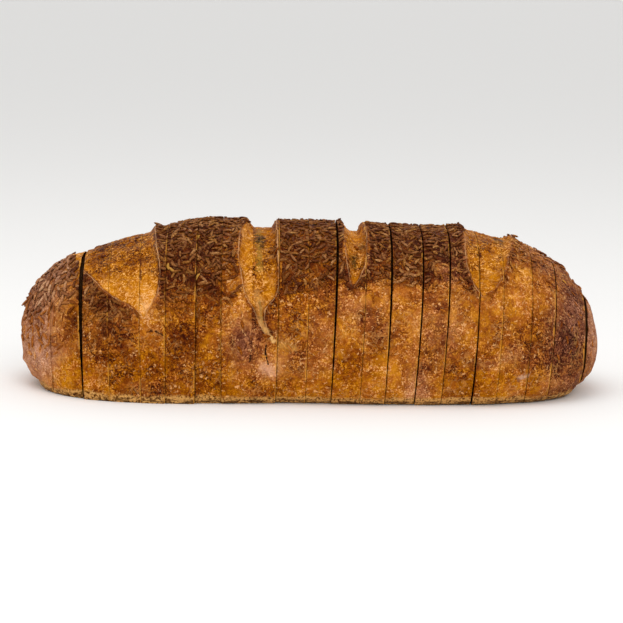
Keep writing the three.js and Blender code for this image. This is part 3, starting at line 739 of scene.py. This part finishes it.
def make_slice(index, name):
    step, face = outline_places()
    columns = len(step)
    left = cut_plane(index - 1, 1) if index > 0 else None
    right = cut_plane(index, -1) if index < CUT_COUNT else None
    rim_left = left and index - 1 != CLOSED_CUT
    rim_right = right and index != CLOSED_CUT
    shares = row_shares(left, right)
    if left and right:
        from_x = crust_on_plane(left, step, face)
        to_x = crust_on_plane(right, step, face)
        x = from_x + (to_x - from_x) * shares[:, None]
    elif left:
        from_x = crust_on_plane(left, step, face)
        x = from_x + (HALF_LENGTH - from_x) * np.sin(shares[:, None] * math.pi / 2)
    else:
        to_x = crust_on_plane(right, step, face)
        x = to_x + (-HALF_LENGTH - to_x) * np.sin(shares[::-1, None] * math.pi / 2)
    rows = len(shares)
    steps = np.broadcast_to(step, (rows, columns))
    sides = np.broadcast_to(face, (rows, columns))
    surface, normals, (inside, edge, beside) = crust_surface(x, steps, sides)
    cover = seed_cover(surface, steps, inside, beside)
    bake_and_shade, film = browning_at(surface, inside, beside, cover)
    # the skin of the left end stayed pale, and all of it is a little darker low on the flank
    low = 1.0 - smooth_step(surface[..., 2], 20.0, 48.0)
    skin_bake = 0.06 * low - (0.42 - 0.17 * low) * smooth_step(-surface[..., 0], 98.0, 114.0)
    # painted light and shade: each slice is made a little lighter or darker as a whole, low on the
    # flank and above it apart
    own_painted_light = np.random.default_rng(700 + index).normal(0.0, PIECE_LIGHT_SPREAD, 2)
    bake_and_shade = np.clip(bake_and_shade + skin_bake + own_painted_light[0] * low + own_painted_light[1] * (1.0 - low), 0.0, 1.0)
    if left:
        surface[0] -= normals[0] * (RIM_ROUNDING if rim_left else 0.0)
        surface[0, :, 0] = left(surface[0, :, 1], surface[0, :, 2])
    if right:
        surface[-1] -= normals[-1] * (RIM_ROUNDING if rim_right else 0.0)
        surface[-1, :, 0] = right(surface[-1, :, 1], surface[-1, :, 2])
    surface[..., 2] = np.maximum(surface[..., 2], 0.0)
    # painted shade below zero on a left rim, which lies in the neighbour's shade, painted highlight
    # above zero on a right one
    rim_light_and_shade = np.zeros((rows, columns))
    if rim_left:
        rim_light_and_shade[:3] = [[-1.0], [-0.6], [-0.1]]
    if rim_right:
        rim_light_and_shade[-3:] = [[0.15], [0.9], [1.0]]

    points = surface.reshape(-1, 3)
    depths = [0.0] * len(points)
    grid = np.arange(rows * columns).reshape(rows, columns)
    after = np.roll(grid, -1, axis=1)
    quads = np.stack([grid[:-1], grid[1:], after[1:], after[:-1]], axis=-1).reshape(-1, 4)
    faces = [tuple(quad) for quad in quads.tolist()]
    if not left:
        points = np.concatenate([points, [[-HALF_LENGTH, 0.0, LEFT_END["tip"]]]])
        depths.append(0.0)
        faces += [(len(points) - 1, a, b) for a, b in zip(grid[0].tolist(), after[0].tolist())]
    if not right:
        points = np.concatenate([points, [[HALF_LENGTH, 0.0, RIGHT_END["tip"]]]])
        depths.append(0.0)
        faces += [(len(points) - 1, b, a) for a, b in zip(grid[-1].tolist(), after[-1].tolist())]
    crust_faces = len(faces)
    crust_points = len(points)
    if left:
        points = sawn_face(points, depths, faces, grid[0], left, -1)
    if right:
        points = sawn_face(points, depths, faces, grid[-1], right, 1)
    points = points + [0.0, PIECE_STEPS[index], 0.0]

    mesh = bpy.data.meshes.new(name)
    mesh.from_pydata((points * MM).tolist(), [], faces)
    mesh.materials.append(baked_rye_crust)
    mesh.materials.append(rye_crumb)
    is_crumb = np.arange(len(faces)) >= crust_faces
    mesh.polygons.foreach_set("material_index", is_crumb.astype(np.int32))
    mesh.polygons.foreach_set("use_smooth", ~is_crumb)
    ends = np.empty(2 * len(mesh.edges), dtype=np.int32)
    mesh.edges.foreach_get("vertices", ends)
    on_rim = np.zeros(len(points), dtype=bool)
    if left:
        on_rim[grid[0]] = True
    if right:
        on_rim[grid[-1]] = True
    mesh.edges.foreach_set("use_edge_sharp", on_rim[ends].reshape(-1, 2).all(axis=1))
    fields = {"bake_and_shade": bake_and_shade, "film": film, "edge": edge, "beside": beside, "rim_light_and_shade": rim_light_and_shade}
    for field_name, values in fields.items():
        padded = np.zeros(len(points))
        padded[:rows * columns] = values.ravel()
        if crust_points > rows * columns:
            padded[crust_points - 1] = values[0 if not left else -1].mean()
        mesh.attributes.new(field_name, "FLOAT", "POINT").data.foreach_set("value", padded)
    mesh.attributes.new("crumb_depth", "FLOAT", "POINT").data.foreach_set("value", depths)
    piece = bpy.data.objects.new(name, mesh)
    bpy.context.scene.collection.objects.link(piece)
    return piece


def piece_name(index):
    if index == 0:
        return "heel_left"
    return "heel_right" if index == CUT_COUNT else f"slice_{index:02d}"


for index in range(CUT_COUNT + 1):
    node = piece_name(index)
    bread = make_slice(index, "bread_" + node)
    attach(bread, "root")
    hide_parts(node)

# ------------------------------------------------------------------------------------
# Caraway seeds. Small ribbed crescents, 4 to 6 mm long, pressed onto the wet dough: they
# lie on each other over the top, thinly on the flanks, and the blades cut through some.

SEED_LENGTH = 4.8
SEED_GIRTH = 1.5
SEED_BEND = 0.4
SEED_RINGS = (-0.4, -0.22, 0.0, 0.22, 0.4)
SEED_SIDES = 10
CANDIDATES = 26000
THICK_SPACING = 2.1
THIN_SPACING = 7.0
THICK_COVER = 0.5  # above this they lie on each other, below it they are half sunk
# where the shown side carries most of the pale flakes: x, z and reach in mm
FLAKES_X, FLAKES_Z, FLAKES_REACH = -58.0, 57.0, 9.0


def scatter_seeds():
    """Places of the seeds: dense ones first come, first served, at a spacing that varies."""
    draw = random.Random(417)
    wanted = []
    for _ in range(CANDIDATES):
        wanted.append((
            draw.uniform(-HALF_LENGTH + 2.0, HALF_LENGTH - 2.0),
            draw.uniform(FOOT_STEPS + FLANK_STEPS, HALF_STEPS),
            draw.choice((-1.0, 1.0)),
            draw.random(),
            draw.uniform(0.0, math.tau),
        ))
    wanted = np.array(wanted)
    points, normals, (inside, _, beside) = crust_surface(wanted[:, 0], wanted[:, 1], wanted[:, 2])
    cover = seed_cover(points, wanted[:, 1], inside, beside)
    bake_and_shade = browning_at(points, inside, beside, cover)[0]
    narrowing = section_at(wanted[:, 0])[2] / HALF_WIDTH
    spacing = THICK_SPACING / np.sqrt(np.clip(cover, (THICK_SPACING / THIN_SPACING) ** 2, 1.0))
    taken = np.empty((0, 3))
    chosen = []
    for i in range(CANDIDATES):
        if cover[i] <= 0.02 or wanted[i, 3] > narrowing[i]:
            continue
        if len(taken) and (((taken - points[i]) ** 2).sum(axis=1) < spacing[i] ** 2).any():
            continue
        taken = np.concatenate([taken, points[i:i + 1]])
        chosen.append(i)
    return wanted[chosen], points[chosen], normals[chosen], cover[chosen], bake_and_shade[chosen]


def seed_shape():
    """One seed's points, its furrows between the ribs and its faces; length 1 along X."""
    points = [(-0.5, 0.0, 0.0)]
    furrows = [0.3]
    for share in SEED_RINGS:
        girth = 0.5 * (1.0 - (2.0 * share) ** 2) ** 0.55
        for side in range(SEED_SIDES):
            turn = math.tau * side / SEED_SIDES
            furrow = side % 2
            reach = girth * (0.8 if furrow else 1.0)
            points.append((share, reach * math.cos(turn), 0.85 * reach * math.sin(turn)))
            furrows.append(0.4 * furrow)
    points.append((0.5, 0.0, 0.0))
    furrows.append(0.3)
    last = len(points) - 1
    faces = []
    for side in range(SEED_SIDES):
        after = (side + 1) % SEED_SIDES
        faces.append((0, 1 + after, 1 + side))
        faces.append((last, last - SEED_SIDES + side, last - SEED_SIDES + after))
        for ring in range(len(SEED_RINGS) - 1):
            low = 1 + ring * SEED_SIDES
            high = low + SEED_SIDES
            faces.append((low + side, low + after, high + after, high + side))
    return np.array(points), np.array(furrows), faces


TOASTED = ["#dcac6c", "#bc8844", "#996228", "#7c4814", "#613006", "#461a00", "#2c0a00"]


def make_caraway():
    material = new_material("toasted caraway")
    tree = material.node_tree
    place = add(tree, "TexCoord", {}, "Object")
    shade, dull, bare, furrow, flake = (
        add(tree, "Attribute", {}, "Fac", attribute_name=name)
        for name in ("shade", "dull", "bare", "furrow", "flake")
    )
    wear = add(tree, "TexNoise", {"Vector": place, "Scale": per_mm(0.8), "Detail": 3.0,
                                  "Roughness": 0.8})
    worn = add(tree, "Math", {0: wear, 1: 1.5, 2: -0.75}, operation="MULTIPLY_ADD")
    shade = add(tree, "Math", {0: shade, 1: worn}, operation="ADD")
    hull, filmed, reddish = (
        add(tree, "ValToRGB", {"Fac": shade}, stops=scale) for scale in (TOASTED, FILMED, REDDISH)
    )
    # the furrows between the ribs are darker, and so is each seed's underside, which is painted
    # shade where it turns from the light
    furrow = add(tree, "Math", {0: furrow, 1: 0.65}, operation="MULTIPLY")
    layers = [(dull, filmed), (bare, reddish), (furrow, linear("#240a00")),
              (flake, linear("#c8943c"))]
    for share, over in layers:
        hull = add(tree, "Mix", {0: share, 6: hull, 7: over}, 2, data_type="RGBA")
    bump = add(tree, "Bump", {"Height": wear, "Strength": 0.6, "Distance": 0.2 * MM})
    shader = add(tree, "BsdfPrincipled", {
        "Base Color": hull, "Normal": bump, "Roughness": 0.5,
        "IOR": 1.45, "Specular IOR Level": 0.06,
    })
    add(tree, "OutputMaterial", {"Surface": shader})
    return material


toasted_caraway = make_caraway()


def piece_holding(points):
    """Index of the piece that each place belongs to."""
    holder = np.zeros(len(points), dtype=int)
    for index in range(CUT_COUNT):
        holder += points[:, 0] > cut_plane(index, 0)(points[:, 1], points[:, 2])
    return holder


def make_seeds(name, indices, placed):
    """One mesh of all the seeds that lie on some of the pieces."""
    wanted, points, normals, cover, bake_and_shade, holder = placed
    shape, furrows, shape_faces = seed_shape()
    draw = np.random.default_rng(5000 + indices[0])
    all_points = []
    all_faces = []
    marks = {"furrow": [], "shade": [], "dull": [], "bare": [], "flake": []}
    for i in np.flatnonzero(np.isin(holder, indices)):
        normal = normals[i]
        along = np.cross(normal, [0.0, 0.0, 1.0] if abs(normal[2]) < 0.9 else [0.0, 1.0, 0.0])
        along /= np.linalg.norm(along)
        across = np.cross(normal, along)
        heading = wanted[i, 4]
        on_others = cover[i] > THICK_COVER
        tilt = draw.normal(0.0, 0.14 if on_others else 0.06)
        forward = along * math.cos(heading) + across * math.sin(heading)
        sideways = np.cross(normal, forward)
        forward = forward * math.cos(tilt) + normal * math.sin(tilt)
        upward = np.cross(forward, sideways)
        # bolder ones on the left heel, finer ones towards the right end
        finer = 1.15 - 0.15 * smooth_step(points[i, 0], -112.0, -95.0)
        finer = finer - 0.17 * smooth_step(points[i, 0], 50.0, 70.0)
        size = draw.uniform(0.78, 1.16) * finer
        length = SEED_LENGTH * size
        girth = SEED_GIRTH * draw.uniform(0.8, 1.15) * finer
        bend = SEED_BEND * draw.uniform(0.4, 1.3) * (1.0 - (2.0 * shape[:, 0]) ** 2)
        local_y = shape[:, 1] * girth + bend
        lifted = draw.uniform(0.0, 0.55) if on_others else draw.uniform(-0.45, 0.0)
        lifted = lifted + 0.4 * draw.random() * smooth_step(-points[i, 0], 108.0, 118.0)
        body = (
            points[i] + normal * lifted
            + forward * (shape[:, 0] * length)[:, None]
            + sideways * local_y[:, None]
            + upward * (shape[:, 2] * girth)[:, None]
        )
        index = holder[i]
        if index > 0:
            body[:, 0] = np.maximum(body[:, 0], cut_plane(index - 1, 1)(body[:, 1], body[:, 2]))
        if index < CUT_COUNT:
            body[:, 0] = np.minimum(body[:, 0], cut_plane(index, -1)(body[:, 1], body[:, 2]))
        body[:, 1] += PIECE_STEPS[index]
        start = sum(len(part) for part in all_points)
        all_points.append(body)
        all_faces.extend(tuple(start + corner for corner in corners) for corners in shape_faces)
        # painted shade: the lower half of each seed is darkened as if out of the light; it goes
        # into the furrow field with the real dark furrows
        held = smooth_step(-shape[:, 2], -0.2, 0.3) * (1.0 if on_others else 0.7)
        marks["furrow"].append(np.maximum(furrows, held))
        # thick on the top they are paler than the crust, on the flanks they take its colour
        thick = smooth_step(cover[i], 0.4, 0.9)
        paler = draw.uniform(-0.26 - 0.26 * thick, 0.04 - 0.1 * thick)
        paler = paler - 0.18 * smooth_step(-points[i, 0], 104.0, 118.0)
        marks["shade"].append(np.full(len(body), min(bake_and_shade[i], 0.85) + paler))
        marks["bare"].append(np.full(len(body), 0.85 * (1.0 - thick)))
        dull = 0.45 * smooth_step(abs(points[i, 0] + 5.0), 100.0, 112.0)
        marks["dull"].append(np.full(len(body), dull + draw.uniform(0.0, 0.3) * thick))
        off_flakes = math.hypot(points[i, 0] - FLAKES_X, points[i, 2] - FLAKES_Z)
        flaky = 0.09 if off_flakes < FLAKES_REACH and points[i, 1] < 0 else 0.003
        marks["flake"].append(np.full(len(body), 0.6 if draw.random() < flaky else 0.0))
    mesh = bpy.data.meshes.new(name)
    mesh.from_pydata((np.concatenate(all_points) * MM).tolist(), [], all_faces)
    mesh.materials.append(toasted_caraway)
    mesh.polygons.foreach_set("use_smooth", np.ones(len(all_faces), dtype=bool))
    for field_name, values in marks.items():
        attribute = mesh.attributes.new(field_name, "FLOAT", "POINT")
        attribute.data.foreach_set("value", np.concatenate(values))
    piece = bpy.data.objects.new(name, mesh)
    bpy.context.scene.collection.objects.link(piece)
    return piece


seed_places = scatter_seeds()
seed_holders = piece_holding(seed_places[1])
SEED_GROUPS = [range(0, 5), range(5, 8), range(8, 11), range(11, 15), range(15, 21)]
for group, indices in enumerate(SEED_GROUPS, start=1):
    seeds = make_seeds(f"caraway_seeds_{group}", list(indices), (*seed_places, seed_holders))
    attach(seeds, "root")
    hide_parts(*[piece_name(index) for index in indices])

# ------------------------------------------------------------------------------------
# The table, the light and the camera. A pale matt floor, a wide soft light overhead and a
# large one from the front, and a long lens a little above the loaf.

FLOOR_SIZE = 60.0


def make_floor():
    material = new_material("pale matt floor")
    tree = material.node_tree
    shader = add(tree, "BsdfPrincipled", {"Base Color": linear("#f4f3f1"), "Roughness": 0.9})
    add(tree, "OutputMaterial", {"Surface": shader})
    half = FLOOR_SIZE / 2
    mesh = bpy.data.meshes.new("floor")
    corners = [(-half, -half, 0), (half, -half, 0), (half, half, 0), (-half, half, 0)]
    mesh.from_pydata(corners, [], [(0, 1, 2, 3)])
    mesh.materials.append(material)
    floor = bpy.data.objects.new("floor", mesh)
    bpy.context.scene.collection.objects.link(floor)
    floor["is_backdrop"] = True


make_floor()


def add_soft_light(name, place, aim, size, power):
    light = bpy.data.lights.new(name, "AREA")
    light.shape = "DISK"
    light.size = size
    light.energy = power
    lamp = bpy.data.objects.new(name, light)
    lamp.location = place
    lamp.rotation_euler = (Vector(aim) - Vector(place)).to_track_quat("-Z", "Y").to_euler()
    bpy.context.scene.collection.objects.link(lamp)


add_soft_light("overhead", (-0.15, -0.25, 1.1), (0.0, 0.0, 0.03), 0.9, 4.0)
add_soft_light("front", (0.25, -1.3, 0.75), (0.0, 0.0, 0.04), 0.8, 5.6)

world = bpy.data.worlds.new("studio")
world.use_nodes = True
world.node_tree.nodes["Background"].inputs["Color"].default_value = linear("#ffffff")
world.node_tree.nodes["Background"].inputs["Strength"].default_value = 0.8
bpy.context.scene.world = world
bpy.context.scene.view_settings.view_transform = "Standard"

CAMERA_DISTANCE = 1.1
CAMERA_ELEVATION = 8.5
CAMERA_ROLL = 0.9
LENS_MM = 133.7
SENSOR_MM = 36.0

camera_data = bpy.data.cameras.new("camera")
camera_data.lens = LENS_MM
camera_data.sensor_width = SENSOR_MM
camera = bpy.data.objects.new("camera", camera_data)
aim = Vector((0.0007, 0.0, 0.0352))
tilt = math.radians(CAMERA_ELEVATION)
camera.location = aim + CAMERA_DISTANCE * Vector((0.0, -math.cos(tilt), math.sin(tilt)))
look = (aim - camera.location).to_track_quat("-Z", "Y").to_matrix()
camera.rotation_euler = (look @ Matrix.Rotation(math.radians(CAMERA_ROLL), 3, "Z")).to_euler()
bpy.context.scene.collection.objects.link(camera)
bpy.context.scene.camera = camera

# ------------------------------------------------------------------------------------
# The box of the solids and the box of the finished loaf, for comparison.

boxes = {"cad": cad_box, "visual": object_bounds()}
{name: [list(corner) for corner in box] for name, box in boxes.items()}
